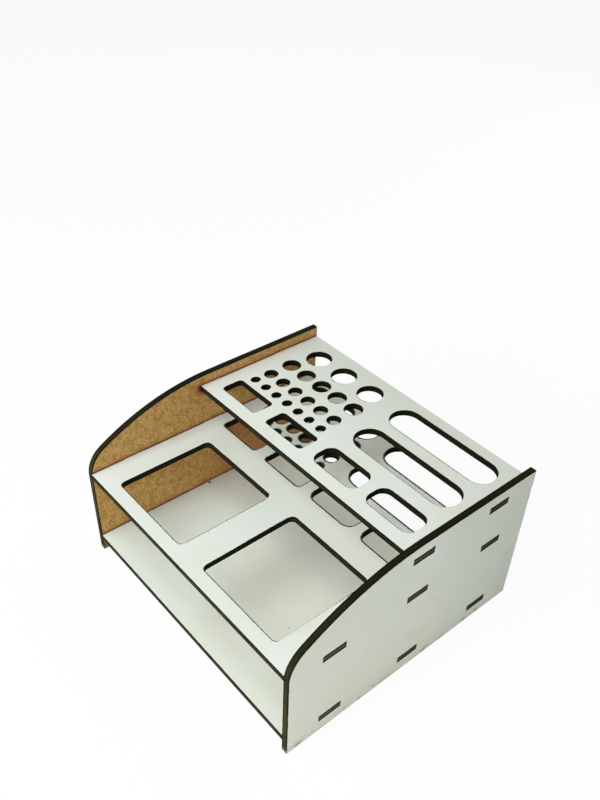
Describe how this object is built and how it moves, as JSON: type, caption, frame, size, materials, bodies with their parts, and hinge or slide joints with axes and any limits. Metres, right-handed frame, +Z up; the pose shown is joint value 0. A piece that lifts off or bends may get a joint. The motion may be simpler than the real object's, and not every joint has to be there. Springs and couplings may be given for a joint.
{
  "type": "hobby workstation organizer",
  "caption": "Desk organizer of slotted boards: two curved side panels carry a base, a windowed middle shelf and a tool-hole top shelf.",
  "frame": {"origin": "middle of the footprint, on the surface that the two side panels stand on", "axes": "+X from the left panel to the right panel, +Y from the front to the back, +Z up"},
  "size_m": [0.14, 0.13, 0.0748],
  "materials": {
    "side_board": "3 mm hardboard with a white laminate outer face, bare brown inner face and scorched laser-cut edges",
    "shelf_board": "3 mm hardboard with a white laminate top, bare brown underside and scorched laser-cut edges"
  },
  "bodies": {
    "root": {"left_side_panel": "side_board", "right_side_panel": "side_board", "base_shelf": "shelf_board", "middle_shelf": "shelf_board", "top_shelf": "shelf_board"}
  },
  "joints": []
}
